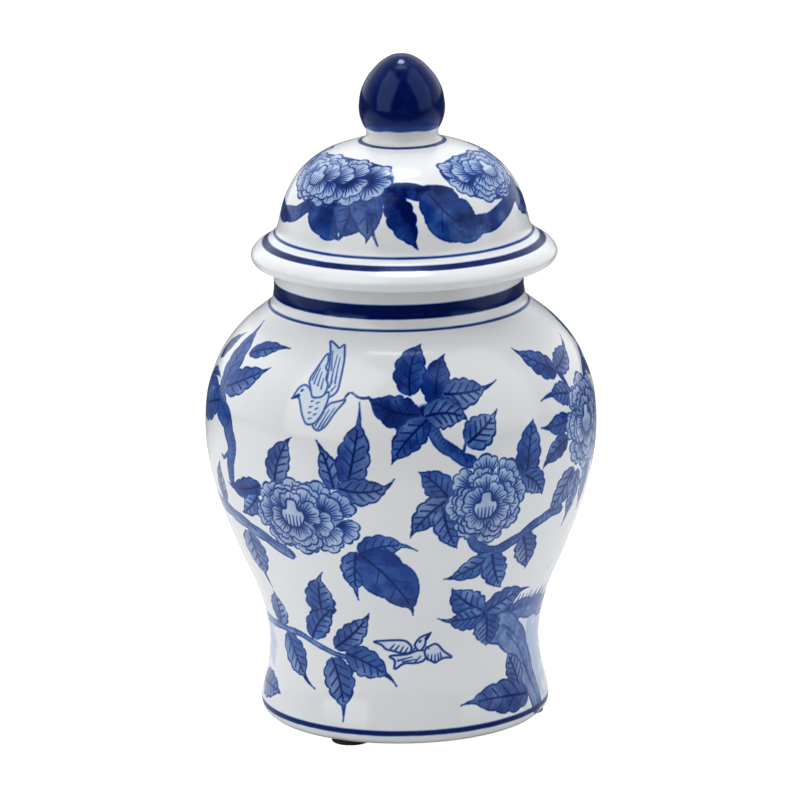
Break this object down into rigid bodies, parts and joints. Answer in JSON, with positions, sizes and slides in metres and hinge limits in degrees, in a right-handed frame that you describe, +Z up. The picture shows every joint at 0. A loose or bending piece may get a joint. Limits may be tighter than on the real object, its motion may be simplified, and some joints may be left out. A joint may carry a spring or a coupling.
{
  "type": "ginger jar",
  "caption": "Porcelain ginger jar with a full shoulder, flared foot and loose domed lid with a bud knob; blue hand-painted flowers and birds on white glaze.",
  "frame": {"origin": "on the surface the jar stands on, under the middle of the jar", "axes": "+Z up along the jar's axis; the side seen in the picture, with the first foot pad to its left, faces -Y"},
  "size_m": [0.177, 0.177, 0.3052],
  "materials": {
    "jar_porcelain": "glossy clear glaze over cool white porcelain, cobalt underglaze brush painting, unglazed foot ring",
    "lid_porcelain": "glossy clear glaze over cool white porcelain, cobalt underglaze brush painting, unglazed seat under the flange",
    "knob_cobalt": "glossy deep cobalt glaze on the bud, white glaze on the stem",
    "pad_foam": "matt black closed-cell foam"
  },
  "bodies": {
    "jar": {"jar_body": "jar_porcelain", "foot_pad_1": "pad_foam", "foot_pad_2": "pad_foam", "foot_pad_3": "pad_foam", "foot_pad_4": "pad_foam"},
    "lid": {"lid_shell": "lid_porcelain", "lid_knob": "knob_cobalt"}
  },
  "joints": [
    {"name": "lid_lift", "type": "slide", "parent": "jar", "child": "lid", "axis": [0, 0, 1], "range_m": [0, 0.12]}
  ]
}
